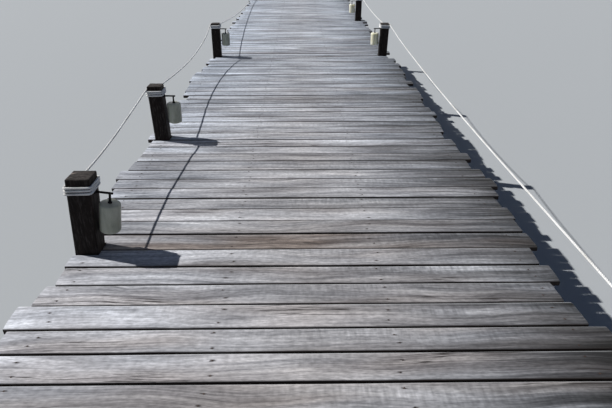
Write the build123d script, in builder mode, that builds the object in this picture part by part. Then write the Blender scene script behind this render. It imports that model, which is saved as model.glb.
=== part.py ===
from build123d import *
from collections import namedtuple
from math import atan2, copysign, cos, radians, sin, tan
import os
import random

# A timber footbridge: planks across four rows of stringers, cap beams
# on pairs of round piles, short square posts with a lamp on each, and rope handrails.
# Millimetres. X runs across the deck, Y along it and Z up. The origin is level with the
# pile feet, below the middle of the deck.

# Bents and deck length
bay_count = 4
bay_pitch = 3300
end_overhang = 859
deck_top = 1700

# Deck planks
deck_width = 2440
plank_pitch_wanted = 155.4
plank_gap = 6
plank_thickness = 25
plank_width_spread = 0.10
plank_end_spread = 48
plank_end_longest = 62
plank_groups = 4
longest_planks = (67, 91)
first_own_plank = 7
length_before_own_planks = 1084
plank_width_seed = 16279
left_end_seed = 94188
right_end_seed = 100265

# Planks that have sizes of their own, one after another: each one's pitch, and how far its left and
# right ends stand out past the deck's edge lines
own_planks = [
    (155, -6, 6), (158, 12, -2), (152, 20, 48), (162, 52, -17), (156, -1, -51), (154, -39, 0),
    (160, -28, -31), (164, -55, 17), (150, -30, 0), (154, -5, 12), (148, -15, -14), (148, 5, 18),
    (150, 25, 60), (154, 52, 30), (164, 2, -25), (144, -14, 25), (154, -17, -19), (158, -23, -9),
    (165, 22, -60), (155, -15, -25), (146, -30, -14), (152, -5, -23), (142, 10, 18), (140, -20, 0),
    (140, -10, -30), (142, 5, -20), (151, -70, 12), (154, -10, 22), (148, 2, 20), (155, 2, -42),
    (150, 14, 30), (166, 38, -22), (149, 46, 0), (131, 34, 22), (131, -22, 22), (173, -10, 10),
    (172, -50, 44), (138, -6, 0), (174, -20, 30), (166, -82, -42), (173, -38, -38),
]

# Stringers
stringer_width = 60
stringer_depth = 180
plank_past_stringer = 120
stringer_butt_gap = 4
stringer_set_back = 40
stringer_undercut = 90

# Cap beams and piles
cap_past_stringer = 100
cap_width = 190
cap_depth = 160
cap_undercut = 60
pile_inside_stringer = 250
pile_radius = 95

# Cross braces, let into flats that are cut on the piles
brace_width = 120
brace_thickness = 45
brace_housing = 20
brace_end_beyond_pile = 150
brace_high_below_cap = 140
brace_low_height = 320

# Posts: a shoulder sits on the outer stringer and a tongue runs down its outer face
post_width = 110
post_tongue = 43
post_tongue_above_cap = 12
post_chamfer = 5
post_slot_clearance = 5
plank_least_lip = 18

# Lamps
lamp_arm_below_turns = 2
lamp_arm_usual_height = 345
lamp_arm_radius = 6
lamp_arm_past_stem = 16
lamp_stem_radius = 5
lamp_stem_length = 48
lamp_plate_width = 34
lamp_plate_height = 14
lamp_plate_thickness = 4
lamp_flange_radius = 14
lamp_flange_depth = 6
shade_radius = 53
shade_height = 158
shade_shoulder = 12
shade_clear_of_rope = 7

# Rope
rope_diameter = 12
rope_turns = 3
rope_turn_gap = 4
rope_tie_gap = 0.1

# Posts on each side, which aren't quite plumb, and nor are their lamps. For each: the bent it
# stands by, its distance along the deck from that bent, how much thicker it is than the usual post,
# its height above the deck, how far its top leans in over the deck, the height above the deck of its
# top turn of rope, and how many degrees its lamp droops
Post = namedtuple("Post", "bent along thicker height lean tie droop")
left_posts = [
    Post(1, 1340, 10, 422, 28, 376, 8),
    Post(2, -238, 0, 434, -16, 392, 1),
    Post(3, -262, 0, 434, 0, 405, 1),
    Post(5, 320, 0, 420, 4, 100, 1.5),
]
right_posts = [
    Post(1, -170, 0, 420, 3, 298, 1),
    Post(3, -190, 0, 420, -12, 394, 1),
    Post(4, -157, 0, 424, 0, 398, 1.5),
    Post(5, 320, 0, 420, -4, 372, 1),
]

# Heights and places that follow from the sizes above
deck_length = bay_count * bay_pitch + 2 * end_overhang
plank_count = round(deck_length / plank_pitch_wanted / plank_groups) * plank_groups
plank_bottom = deck_top - plank_thickness
stringer_bottom = plank_bottom - stringer_depth
cap_bottom = stringer_bottom - cap_depth
outer_stringer_x = deck_width / 2 - plank_past_stringer
inner_stringer_x = outer_stringer_x / 3
cap_length = 2 * (outer_stringer_x + cap_past_stringer)
pile_x = outer_stringer_x - pile_inside_stringer
post_x = outer_stringer_x + stringer_width / 2 + post_tongue - post_width / 2
post_tongue_length = stringer_depth - post_tongue_above_cap
turns_depth = rope_turns * rope_diameter + (rope_turns - 1) * rope_turn_gap
bent_ys = [(n - bay_count / 2) * bay_pitch for n in range(bay_count + 1)]

os.makedirs("parts", exist_ok=True)


def save(builder, name):
    """Label a finished piece and write it under its own name."""
    builder.part.label = name
    export_step(builder.part, f"parts/{name}.step")


def post_y(post):
    return bent_ys[post.bent - 1] + post.along


def post_size(post):
    return post_width + post.thicker


def post_run(side, post, rise=None):
    """The way up a post's length, which leans a little, for all of it or for one rise."""
    whole = Vector(-side * post.lean, 0, plank_thickness + post.height)
    return whole if rise is None else whole * (rise / whole.Z)


def post_middle(side, post, z):
    """The middle of a post at one height."""
    return Vector(side * post_x, post_y(post), plank_bottom) + post_run(side, post, z - plank_bottom)


# The deck planks, sawn by hand: their widths vary and their ends don't line up
widths = random.Random(plank_width_seed)
end_seeds = {-1: random.Random(left_end_seed), 1: random.Random(right_end_seed)}


def uneven_pitches(count, length):
    """The pitches of a number of planks that fill a length."""
    shares = [1 + widths.uniform(-plank_width_spread, plank_width_spread) for _ in range(count)]
    return [share * length / sum(shares) for share in shares]


pitches = uneven_pitches(first_own_plank, length_before_own_planks)
pitches += [plank[0] for plank in own_planks]
pitches += uneven_pitches(plank_count - len(pitches), deck_length - sum(pitches))
edges = [-deck_length / 2]
for pitch in pitches:
    edges.append(edges[-1] + pitch)
group_size = plank_count // plank_groups
post_places = [(-post_x, post_y(post), post_size(post)) for post in left_posts]
post_places += [(post_x, post_y(post), post_size(post)) for post in right_posts]


def plank_end(n, side):
    """How far a plank's end is from the middle of the deck."""
    out = end_seeds[side].uniform(-plank_end_spread, plank_end_spread)
    if first_own_plank <= n < first_own_plank + len(own_planks):
        out = own_planks[n - first_own_plank][2 if side > 0 else 1]
    if n in longest_planks:
        out = plank_end_longest
    return deck_width / 2 + out


def slot_for(place, half_slot, low, high):
    """The stretch of a plank that a post's slot takes, with no thin lip left beside it."""
    start = max(low, place - half_slot)
    stop = min(high, place + half_slot)
    if start - low < plank_least_lip:
        start = low
    if high - stop < plank_least_lip:
        stop = high
    return start, stop


for group in range(plank_groups):
    with BuildPart() as deck_planks:
        for n in range(group * group_size, (group + 1) * group_size):
            low = edges[n] + (plank_gap / 2 if n > 0 else 0)
            high = edges[n + 1] - (plank_gap / 2 if n < plank_count - 1 else 0)
            left = -plank_end(n, -1)
            right = plank_end(n, 1)
            with BuildSketch(Plane.XY.offset(plank_bottom)):
                with Locations(((left + right) / 2, (low + high) / 2)):
                    Rectangle(right - left, high - low)
                for x, y, size in post_places:
                    half_slot = size / 2 + post_slot_clearance
                    if y + half_slot > low and y - half_slot < high:
                        start, stop = slot_for(y, half_slot, low, high)
                        inner = post_x - half_slot
                        outer = post_x + half_slot
                        end = right if x > 0 else -left
                        if (start == low and stop == high) or end - outer < plank_least_lip:
                            outer = deck_width
                        with Locations((copysign((inner + outer) / 2, x), (start + stop) / 2)):
                            Rectangle(outer - inner, stop - start, mode=Mode.SUBTRACT)
            extrude(amount=plank_thickness)
    save(deck_planks, f"deck_planks_{group + 1}")


# Stringers: timbers that butt over the cap beams, undercut at the deck's two ends
joint_ys = bent_ys[1:-1]
stringer_start = -deck_length / 2 + stringer_set_back
stringer_cuts = [stringer_start]
for y in joint_ys:
    stringer_cuts += [y - stringer_butt_gap / 2, y + stringer_butt_gap / 2]
stringer_cuts.append(-stringer_start)
stringer_rows = {
    "stringer_left_outer": -outer_stringer_x,
    "stringer_left_inner": -inner_stringer_x,
    "stringer_right_inner": inner_stringer_x,
    "stringer_right_outer": outer_stringer_x,
}
for name, x in stringer_rows.items():
    with BuildPart() as stringer:
        for start, stop in zip(stringer_cuts[::2], stringer_cuts[1::2]):
            start_undercut = stringer_undercut if start == stringer_cuts[0] else 0
            stop_undercut = stringer_undercut if stop == stringer_cuts[-1] else 0
            with BuildSketch(Plane.YZ.offset(x - stringer_width / 2)):
                with Locations(((start + stop) / 2, (plank_bottom + stringer_bottom) / 2)):
                    Rectangle(stop - start, stringer_depth)
                for y, undercut, turn in ((start, start_undercut, 1), (stop, stop_undercut, -1)):
                    if undercut:
                        with BuildLine():
                            Polyline(
                                (y, stringer_bottom),
                                (y + turn * 2 * undercut, stringer_bottom),
                                (y, stringer_bottom + undercut),
                                close=True,
                            )
                        make_face(mode=Mode.SUBTRACT)
            extrude(amount=stringer_width)
    save(stringer, name)


# Bents: a cap beam on two piles, and one brace on each face of the pair
brace_high = cap_bottom - brace_high_below_cap
brace_end_x = pile_x + brace_end_beyond_pile
brace_slope = atan2(brace_high - brace_low_height, 2 * brace_end_x)
brace_half_rise = brace_width / 2 / cos(brace_slope)
brace_inner = pile_radius - brace_housing


def brace_corners(rising):
    """The corners of a brace with plumb-cut ends, which rises towards this side."""
    return [
        (-rising * brace_end_x, brace_low_height - brace_half_rise),
        (rising * brace_end_x, brace_high - brace_half_rise),
        (rising * brace_end_x, brace_high + brace_half_rise),
        (-rising * brace_end_x, brace_low_height + brace_half_rise),
    ]


for n, bent_y in enumerate(bent_ys, start=1):
    with BuildPart() as cap_beam:
        with BuildSketch(Plane.XZ.offset(-bent_y)):
            with BuildLine():
                Polyline(
                    (-cap_length / 2, stringer_bottom),
                    (-cap_length / 2, cap_bottom + cap_undercut),
                    (-cap_length / 2 + 2 * cap_undercut, cap_bottom),
                    (cap_length / 2 - 2 * cap_undercut, cap_bottom),
                    (cap_length / 2, cap_bottom + cap_undercut),
                    (cap_length / 2, stringer_bottom),
                    close=True,
                )
            make_face()
        extrude(amount=cap_width / 2, both=True)
    save(cap_beam, f"cap_beam_{n}")

    with BuildPart() as pile_pair:
        with Locations((-pile_x, bent_y), (pile_x, bent_y)):
            Cylinder(pile_radius, cap_bottom, align=(Align.CENTER, Align.CENTER, Align.MIN))
        for side in (-1, 1):
            with BuildSketch(Plane.XZ.offset(-(bent_y + side * brace_inner))):
                with BuildLine():
                    Polyline(*brace_corners(side), close=True)
                make_face()
            extrude(amount=-side * brace_thickness, mode=Mode.SUBTRACT)
    save(pile_pair, f"pile_pair_{n}")

with BuildPart() as cross_braces:
    for bent_y in bent_ys:
        for side in (-1, 1):
            with BuildSketch(Plane.XZ.offset(-(bent_y + side * brace_inner))):
                with BuildLine():
                    Polyline(*brace_corners(side), close=True)
                make_face()
            extrude(amount=-side * brace_thickness)
save(cross_braces, "cross_braces")


# Posts, their rope turns and the free rope between them
def build_post(name, side, post):
    run = post_run(side, post)
    size = post_size(post)
    with BuildPart() as timber:
        with BuildSketch(Plane.XY.offset(plank_bottom)):
            with Locations((side * post_x, post_y(post))):
                Rectangle(size, size)
        extrude(amount=run.length, dir=run)
        top_edges = timber.faces().sort_by(Axis.Z)[-1].edges()
        long_edges = timber.edges().filter_by(Axis((0, 0, 0), run))
        chamfer(long_edges + top_edges, length=post_chamfer)
        tongue_x = outer_stringer_x + stringer_width / 2 + post_tongue / 2
        with BuildSketch(Plane.XY.offset(plank_bottom)):
            with Locations((side * tongue_x, post_y(post))):
                Rectangle(post_tongue, size - 2 * post_chamfer)
        extrude(amount=-post_tongue_length)
    save(timber, name)


def turns_foot(post):
    return deck_top + post.tie + rope_diameter / 2 - turns_depth


def build_rope_turns(name, side, post):
    size = post_size(post)
    outer = size + 2 * rope_diameter
    middle = post_middle(side, post, turns_foot(post))
    run = post_run(side, post, turns_depth)
    with BuildPart() as rope_turn_ring:
        with BuildSketch(Plane.XY.offset(middle.Z)):
            with Locations((middle.X, middle.Y)):
                RectangleRounded(outer, outer, rope_diameter)
                Rectangle(size, size, mode=Mode.SUBTRACT)
        extrude(amount=run.length, dir=run)
    save(rope_turn_ring, name)


for side_name, side, posts in (("left", -1, left_posts), ("right", 1, right_posts)):
    for n, post in enumerate(posts, start=1):
        build_post(f"post_{side_name}_{n}", side, post)
        build_rope_turns(f"rope_turns_{side_name}_{n}", side, post)


# Lamps on the posts' deck side: a flat plate against the post, a round arm with a flanged stem
# below it, and the shade. Each arm is just under the lowest turn of rope, or at the usual height
# where the rope is lower.
flange_top = -lamp_stem_length
shade_top = flange_top - lamp_flange_depth
shade_foot = shade_top - shade_height
lamp_reach = rope_diameter + shade_clear_of_rope + shade_radius


def arm_z(post):
    if post.tie < lamp_arm_usual_height:
        return deck_top + lamp_arm_usual_height
    return turns_foot(post) - lamp_arm_below_turns - lamp_arm_radius


def lamp_plane(side, post):
    """A plane across the deck through the lamp's stem, whose X runs out along the drooping arm."""
    droop = radians(post.droop)
    out = Vector(-side * cos(droop), 0, -sin(droop))
    root = post_middle(side, post, arm_z(post)) - Vector(side * post_size(post) / 2, 0, 0)
    return Plane(origin=root + out * lamp_reach, x_dir=out, z_dir=(0, side, 0))


for side_name, side, posts in (("left", -1, left_posts), ("right", 1, right_posts)):
    with BuildPart() as lamp_brackets:
        for post in posts:
            plane = lamp_plane(side, post)
            plate_foot = post_middle(side, post, arm_z(post) - lamp_plate_height / 2)
            plate_x = plate_foot.X - side * (post_size(post) + lamp_plate_thickness) / 2
            plate_run = post_run(side, post, lamp_plate_height)
            with BuildSketch(Plane.XY.offset(plate_foot.Z)):
                with Locations((plate_x, plate_foot.Y)):
                    Rectangle(lamp_plate_thickness, lamp_plate_width)
            extrude(amount=plate_run.length, dir=plate_run)
            arm_start = lamp_reach - lamp_plate_thickness / 2
            with BuildSketch(Plane(origin=plane.origin - plane.x_dir * arm_start, z_dir=plane.x_dir)):
                Circle(lamp_arm_radius)
            extrude(amount=arm_start + lamp_arm_past_stem)
            with BuildSketch(plane):
                with BuildLine():
                    Polyline(
                        (0, shade_top),
                        (lamp_flange_radius, shade_top),
                        (lamp_flange_radius, flange_top),
                        (lamp_stem_radius, flange_top),
                        (lamp_stem_radius, 0),
                        (0, 0),
                        close=True,
                    )
                make_face()
            revolve(axis=Axis(plane.origin, plane.y_dir))
    save(lamp_brackets, f"lamp_brackets_{side_name}")

    with BuildPart() as lamp_shades:
        for post in posts:
            plane = lamp_plane(side, post)
            with BuildSketch(plane):
                with BuildLine():
                    Polyline(
                        (0, shade_foot),
                        (shade_radius - shade_shoulder, shade_foot),
                        (shade_radius, shade_foot + shade_shoulder),
                        (shade_radius, shade_top - shade_shoulder),
                        (shade_radius - shade_shoulder, shade_top),
                        (0, shade_top),
                        close=True,
                    )
                make_face()
            revolve(axis=Axis(plane.origin, plane.y_dir))
    save(lamp_shades, f"lamp_shades_{side_name}")


# The free rope: each stretch runs from one post's turns to the next post's. Its points are
# its place across the deck, along it, and above the deck's top.
rope_routes = {
    "rope_left_1": [
        (-1145, -5188, 344),
        (-1165, -4850, 332),
        (-1177, -4500, 337),
        (-1184, -4200, 355),
        (-1188, -3900, 374),
        (-1185, -3605, 392),
    ],
    "rope_left_2": [
        (-1183, -3471, 360),
        (-1189, -3060, 326),
        (-1188, -2560, 291),
        (-1183, -2060, 272),
        (-1181, -1560, 272),
        (-1178, -1060, 299),
        (-1176, -650, 341),
        (-1170, -329, 400),
    ],
    "rope_left_3": [
        (-1170, -195, 373),
        (-1173, 330, 324),
        (-1166, 950, 274),
        (-1156, 1600, 231),
        (-1151, 2350, 187),
        (-1148, 3150, 151),
        (-1149, 3950, 122),
        (-1153, 4750, 102),
        (-1158, 5550, 92),
        (-1166, 6250, 91),
        (-1170, 6853, 100),
    ],
    "rope_right_1": [
        (1167, -6703, 266),
        (1176, -6150, 262),
        (1181, -5400, 260),
        (1179, -4600, 262),
        (1181, -3750, 269),
        (1180, -2900, 284),
        (1182, -2050, 310),
        (1181, -1150, 344),
        (1181, -257, 390),
    ],
    "rope_right_2": [
        (1181, -123, 362),
        (1184, 400, 337),
        (1181, 1020, 334),
        (1179, 1640, 343),
        (1177, 2320, 361),
        (1170, 3076, 397),
    ],
    "rope_right_3": [
        (1170, 3210, 366),
        (1176, 3850, 338),
        (1178, 4600, 327),
        (1177, 5350, 328),
        (1176, 6100, 342),
        (1170, 6853, 371),
    ],
}
along_deck = Vector(0, 1, 0)
for name, route in rope_routes.items():
    points = [Vector(x, y, deck_top + z) for x, y, z in route]
    first_run = (points[1] - points[0]).normalized()
    last_run = (points[-1] - points[-2]).normalized()
    first_slant = radians(first_run.get_angle(along_deck))
    last_slant = radians(last_run.get_angle(along_deck))
    points[0] += first_run * (rope_tie_gap + rope_diameter / 2 * tan(first_slant))
    points[-1] -= last_run * (rope_tie_gap + rope_diameter / 2 * tan(last_slant))
    runs = [b - a for a, b in zip(points, points[1:])]
    turns = [a.get_angle(b) for a, b in zip(runs, runs[1:])]
    radii = [
        0.45 * min(a.length, b.length) / tan(radians(turn) / 2)
        for a, b, turn in zip(runs, runs[1:], turns)
    ]
    with BuildPart() as rope:
        with BuildLine() as path:
            FilletPolyline(*points, radius=radii)
        with BuildSketch(Plane(origin=points[0], z_dir=first_run)):
            Circle(rope_diameter / 2)
        sweep()
    save(rope, name)
    length = sum(edge.length for edge in path.edges())
    print(name, "length", round(length), "radii", [round(radius) for radius in radii])
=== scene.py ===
import math
import random
from collections import namedtuple
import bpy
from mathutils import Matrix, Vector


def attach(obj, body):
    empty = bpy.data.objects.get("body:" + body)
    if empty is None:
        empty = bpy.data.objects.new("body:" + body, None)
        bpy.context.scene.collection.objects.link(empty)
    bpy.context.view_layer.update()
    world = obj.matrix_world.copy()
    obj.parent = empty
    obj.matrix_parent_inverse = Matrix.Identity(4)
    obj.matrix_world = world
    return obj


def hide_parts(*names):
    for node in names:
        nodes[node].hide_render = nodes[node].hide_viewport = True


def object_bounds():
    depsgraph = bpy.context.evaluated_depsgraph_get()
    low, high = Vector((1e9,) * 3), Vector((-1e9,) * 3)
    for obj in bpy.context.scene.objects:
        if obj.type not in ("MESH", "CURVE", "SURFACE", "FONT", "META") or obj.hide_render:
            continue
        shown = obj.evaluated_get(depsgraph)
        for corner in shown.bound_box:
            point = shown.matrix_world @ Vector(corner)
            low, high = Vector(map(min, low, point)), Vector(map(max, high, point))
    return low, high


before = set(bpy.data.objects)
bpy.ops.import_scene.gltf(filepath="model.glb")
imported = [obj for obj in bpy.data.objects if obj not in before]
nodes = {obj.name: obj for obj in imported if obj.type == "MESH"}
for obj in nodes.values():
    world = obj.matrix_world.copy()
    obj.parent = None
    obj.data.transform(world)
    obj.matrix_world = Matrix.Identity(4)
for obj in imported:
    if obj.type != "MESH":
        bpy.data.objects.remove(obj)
from types import SimpleNamespace
import bmesh
import bpy
from mathutils import Matrix, Vector, noise

# A weathered timber footbridge: planks on four rows of stringers, bents of round piles, dark square
# posts with a lamp on each, and a laid rope along each side. X runs across the deck, Y along it.
# Metres throughout.

cad_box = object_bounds()
scene = bpy.context.scene

deck_top = 1.700
plank_bottom = 1.675
plank_end = 1.2              # about where the planks end, left and right
planks_in_node = 24
last_plank = 95
post_line = 1.118
tongue_bottom = 1.507
tongue_face = 1.1715         # the outer face of the posts' tongues
stringer_rows = (-1.100, -0.3667, 0.3667, 1.100)
stringer_end = 7.4           # about where the stringers end, near and far
stringer_bottom = 1.495
stringer_depth = 0.18
stringer_face = 1.0705       # the inner face of the outer stringers
bents = (-6.6, -3.3, 0.0, 3.3, 6.6)
cap_bottom = 1.335
cap_depth = 0.16
pile_line = 0.85
pile_radius = 0.0945
brace_middle = 0.7575        # the height at which the two braces cross
brace_rise = 0.4375          # for each metre across
brace_face = 0.1187          # out from the middle of the bent

# Posts, nearest first: the place along the deck, the size across, the top, how far the top leans in
# over the deck, the height of the top turn of rope above the deck, how far down each of the three
# turns brings the rope, the height of the lamp's arm, and how many degrees the lamp droops
Post = namedtuple("Post", "y size top lean tie turns arm droop")
left_posts = (
    Post(-5.260, 0.120, 2.122, 0.028, 0.376, (0.0135, 0.0165, 0.0170), 2.030, 8.0),
    Post(-3.538, 0.110, 2.134, -0.016, 0.392, (0.0150, 0.0140, 0.0180), 2.046, 1.0),
    Post(-0.262, 0.110, 2.134, 0.000, 0.405, (0.0170, 0.0155, 0.0140), 2.059, 1.0),
    Post(6.920, 0.110, 2.120, 0.004, 0.100, (0.0145, 0.0165, 0.0150), 2.045, 1.5),
)
right_posts = (
    Post(-6.770, 0.110, 2.120, 0.003, 0.298, (0.0150, 0.0160, 0.0160), 2.045, 1.0),
    Post(-0.190, 0.110, 2.120, -0.012, 0.394, (0.0165, 0.0140, 0.0165), 2.048, 1.0),
    Post(3.143, 0.110, 2.124, 0.000, 0.398, (0.0140, 0.0180, 0.0150), 2.052, 1.5),
    Post(6.920, 0.110, 2.120, -0.004, 0.372, (0.0150, 0.0150, 0.0165), 2.026, 1.0),
)
sides = ((-1, "left", left_posts), (1, "right", right_posts))


def post_middle(side, post, z):
    """The middle of a leaning post at one height."""
    rise = (z - plank_bottom) / (post.top - plank_bottom)
    return Vector((side * (post_line - post.lean * rise), post.y, z))


# Camera, as the photograph was taken: standing on the deck, looking along it and down
looks_down = 26.49
looks_right = 0.738
camera_data = bpy.data.cameras.new("camera")
camera_data.lens = 31.765
camera_data.sensor_width = 36.0
camera_data.clip_end = 200.0
camera = bpy.data.objects.new("camera", camera_data)
camera.location = (-0.02, -7.70, 3.17)
camera.rotation_euler = (math.radians(90 - looks_down), 0.0, math.radians(-looks_right))
scene.collection.objects.link(camera)
scene.camera = camera


def put(name, data):
    """Link a finished piece, which rides on the bridge and takes its finish from a slot."""
    piece = bpy.data.objects.new(name, data)
    scene.collection.objects.link(piece)
    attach(piece, "root")
    return piece


def linear(hex_colour):
    """An sRGB hex colour as linear RGBA."""
    parts = [int(hex_colour[i:i + 2], 16) / 255 for i in (1, 3, 5)]
    return [c / 12.92 if c <= 0.04045 else ((c + 0.055) / 1.055) ** 2.4 for c in parts] + [1.0]


# Ropes. Each side is one rope. It starts in a tail that hangs over its first turns, goes three
# times round each post on its way, in at the top and out at the bottom, and ends in a tail below its
# last turns. A route gives the side's posts, the rope's length, and the points between the posts: each
# is its place across the deck, along it, and above the deck's top.
rope_routes = {
    "left": (-1, left_posts, 18.1, (
        ((-1.160, -5.185, 0.341), (-1.167, -4.850, 0.332), (-1.178, -4.500, 0.337), (-1.185, -4.200, 0.355),
         (-1.190, -3.900, 0.376), (-1.194, -3.640, 0.399)),
        ((-1.193, -3.465, 0.357), (-1.189, -3.060, 0.326), (-1.188, -2.560, 0.291), (-1.183, -2.060, 0.272),
         (-1.181, -1.560, 0.272), (-1.178, -1.060, 0.299), (-1.176, -0.650, 0.343), (-1.179, -0.370, 0.402)),
        ((-1.179, -0.190, 0.371), (-1.175, 0.330, 0.324), (-1.166, 0.950, 0.274), (-1.156, 1.600, 0.231),
         (-1.151, 2.350, 0.187), (-1.148, 3.150, 0.151), (-1.149, 3.950, 0.122), (-1.153, 4.750, 0.102),
         (-1.160, 5.550, 0.092), (-1.169, 6.250, 0.093), (-1.178, 6.820, 0.108)),
    )),
    "right": (1, right_posts, 19.5, (
        ((1.177, -6.700, 0.264), (1.178, -6.150, 0.262), (1.181, -5.400, 0.260), (1.179, -4.600, 0.262),
         (1.181, -3.750, 0.269), (1.180, -2.900, 0.284), (1.183, -2.050, 0.310), (1.184, -1.150, 0.345),
         (1.190, -0.300, 0.396)),
        ((1.190, -0.118, 0.359), (1.187, 0.400, 0.336), (1.182, 1.020, 0.334), (1.180, 1.640, 0.343),
         (1.178, 2.320, 0.361), (1.179, 3.035, 0.402)),
        ((1.179, 3.215, 0.364), (1.177, 3.850, 0.338), (1.178, 4.600, 0.327), (1.177, 5.350, 0.328),
         (1.177, 6.100, 0.342), (1.182, 6.815, 0.378)),
    )),
}
# One turn as seen from above, from the middle of the outer face: which way out and along the deck
# each of the four points beside a corner is, and how far the two are past the post's faces
one_turn = (
    (1, 1, 0.007, -0.015), (1, 1, 0.007, -0.0005), (1, 1, -0.0005, 0.007), (1, 1, -0.015, 0.007),
    (-1, 1, -0.015, 0.007), (-1, 1, -0.0005, 0.007), (-1, 1, 0.007, -0.0005), (-1, 1, 0.007, -0.015),
    (-1, -1, 0.007, -0.015), (-1, -1, 0.007, -0.0005), (-1, -1, -0.0005, 0.007), (-1, -1, -0.015, 0.007),
    (1, -1, -0.015, 0.007), (1, -1, -0.0005, 0.007), (1, -1, 0.007, -0.0005), (1, -1, 0.007, -0.015),
)
off_face = 0.007             # from a post's face to the middle of the rope
in_above_tie = 0.013         # the rope comes in this much above the middle of its top turn
start_tail = ((0.033, 0.0205, -0.084), (0.034, 0.0210, -0.060), (0.035, 0.0215, -0.034),
              (0.036, 0.0215, -0.006), (0.035, 0.0195, 0.017), (0.024, 0.0120, 0.0235),
              (0.006, 0.0075, 0.0155))
in_start_tail = 4            # the last point of the first turn that the start's tail takes the place of
end_tail = ((0.007, 0.016, -0.036), (0.0075, 0.034, -0.042), (0.0085, 0.043, -0.056),
            (0.009, 0.044, -0.078))


def beside_post(side, post, out, along, up):
    """A point so far out from a post's middle, along the deck, and above its top turn of rope."""
    return post_middle(side, post, deck_top + post.tie + up) + Vector((side * out, along, 0.0))


def rope_points(side, posts, stretches):
    """The control points of one side's whole rope."""
    points = []
    for n, post in enumerate(posts):
        half = post.size / 2
        if n == 0:
            points += [beside_post(side, post, out, half + past, up) for out, past, up in start_tail]
        else:
            points.append(beside_post(side, post, half + off_face, 0.0, in_above_tie))
        up = in_above_tie
        for turn, drop in enumerate(post.turns):
            for k, (out_way, along_way, past_out, past_along) in enumerate(one_turn):
                if n > 0 or turn > 0 or k > in_start_tail:
                    out, along = out_way * (half + past_out), along_way * (half + past_along)
                    points.append(beside_post(side, post, out, along, up - drop * (k + 0.5) / len(one_turn)))
            up -= drop
        if n + 1 < len(posts):
            points.append(beside_post(side, post, half + off_face, 0.010, up))
            points += [Vector((x, y, deck_top + z)) for x, y, z in stretches[n]]
        else:
            points += [beside_post(side, post, half + past, along, up) for past, along, up in end_tail]
    return points


def mesh_of(curve):
    """The mesh that Blender gives for a curve, which is then done with."""
    bare = bpy.data.objects.new(curve.name, curve)
    mesh = bpy.data.meshes.new_from_object(bare)
    bpy.data.objects.remove(bare)
    bpy.data.curves.remove(curve)
    return mesh


def rope_line(name, points):
    """The rope's centreline, read from a NURBS spline that has these control points."""
    curve = bpy.data.curves.new(name + "_route", "CURVE")
    curve.dimensions = "3D"
    curve.resolution_u = 96
    spline = curve.splines.new("NURBS")
    spline.points.add(len(points) - 1)
    for p, place in zip(spline.points, points):
        p.co = (*place, 1.0)
    spline.order_u = 3
    spline.use_endpoint_u = True
    mesh = mesh_of(curve)
    line = [v.co.copy() for v in mesh.vertices]
    bpy.data.meshes.remove(mesh)
    return line


rope_lay = 0.037             # one strand's full turn round the rope
strand_radius = 0.0034
strand_offset = 0.0029       # from the rope's middle to a strand's
strand_step = 0.0047         # between the rings of a strand's mesh


def laid_rope(name, line):
    """A mesh of three strands that wind round each other along a line, and the line's even steps."""
    places = [line[0]]
    walked = 0.0
    for a, b in zip(line, line[1:]):
        run = (b - a).length
        while walked + run >= strand_step:
            a = a.lerp(b, (strand_step - walked) / run)
            run = (b - a).length
            walked = 0.0
            places.append(a.copy())
        walked += run
    across = Vector((0.0, 0.0, 1.0)).cross(places[1] - places[0])
    if across.length < 1e-4:
        across = Vector((1.0, 0.0, 0.0))
    curve = bpy.data.curves.new(name, "CURVE")
    curve.dimensions = "3D"
    curve.bevel_depth = strand_radius
    curve.bevel_resolution = 1
    curve.use_fill_caps = True
    strands = [curve.splines.new("POLY") for _ in range(3)]
    for spline in strands:
        spline.points.add(len(places) - 1)
    for i, place in enumerate(places):
        ahead = (places[min(i + 1, len(places) - 1)] - places[max(i - 1, 0)]).normalized()
        across = (across - ahead * across.dot(ahead)).normalized()
        beside = ahead.cross(across)
        pinch = min(1.0, 0.55 + 0.2 * min(i, len(places) - 1 - i))     # the strands close in at both ends
        for k, spline in enumerate(strands):
            turn = 2 * math.pi * (i * strand_step / rope_lay + k / 3)
            away = across * math.cos(turn) + beside * math.sin(turn)
            spline.points[i].co = (*(place + away * strand_offset * pinch), 1.0)
    mesh = mesh_of(curve)
    mesh.name = name
    return mesh, places


ropes = []
for name, (side, posts, length, stretches) in rope_routes.items():
    mesh, places = laid_rope(f"rope_{name}", rope_line(f"rope_{name}", rope_points(side, posts, stretches)))
    rope = put(f"rope_{name}", mesh)
    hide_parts(*[node for node in nodes if node.startswith((f"rope_{name}_", f"rope_turns_{name}_"))])
    ropes.append(rope)


# Timbers. Each timber's mesh carries two things for its finish: "grain", its own place along, across
# and through the timber, moved so that no two timbers match, and "tone", how bleached it is.
def copy_of(name):
    """The shape of a CAD node, with its loose triangles merged and its flat faces whole."""
    bm = bmesh.new()
    bm.from_mesh(nodes[name].data)
    bmesh.ops.remove_doubles(bm, verts=bm.verts, dist=1e-5)
    bmesh.ops.dissolve_limit(bm, angle_limit=0.02, verts=bm.verts, edges=bm.edges)
    return bm


def bevel(bm, edges, width, segments=2):
    """Round off some edges."""
    bmesh.ops.bevel(bm, geom=list(edges), offset=width, segments=segments, profile=0.5, affect="EDGES",
                    material=-1)


def wear_edges(bm, width, edges=None):
    """Round off the sharp edges, as handling and weather do."""
    bevel(bm, [e for e in (edges or bm.edges) if len(e.link_faces) == 2 and e.calc_face_angle() > 0.5], width)


def cut_across(bm, axis, places, geom=None):
    """Cut through the shape at each place along an axis, so that it can take an uneven surface."""
    normal = [0.0, 0.0, 0.0]
    normal[axis] = 1.0
    for place in places:
        point = [0.0, 0.0, 0.0]
        point[axis] = place
        whole = geom or [*bm.verts, *bm.edges, *bm.faces]
        found = bmesh.ops.bisect_plane(bm, geom=whole, dist=1e-6, plane_co=point, plane_no=normal)
        if geom:
            geom = list({*found["geom"], *found["geom_cut"]})


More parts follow.
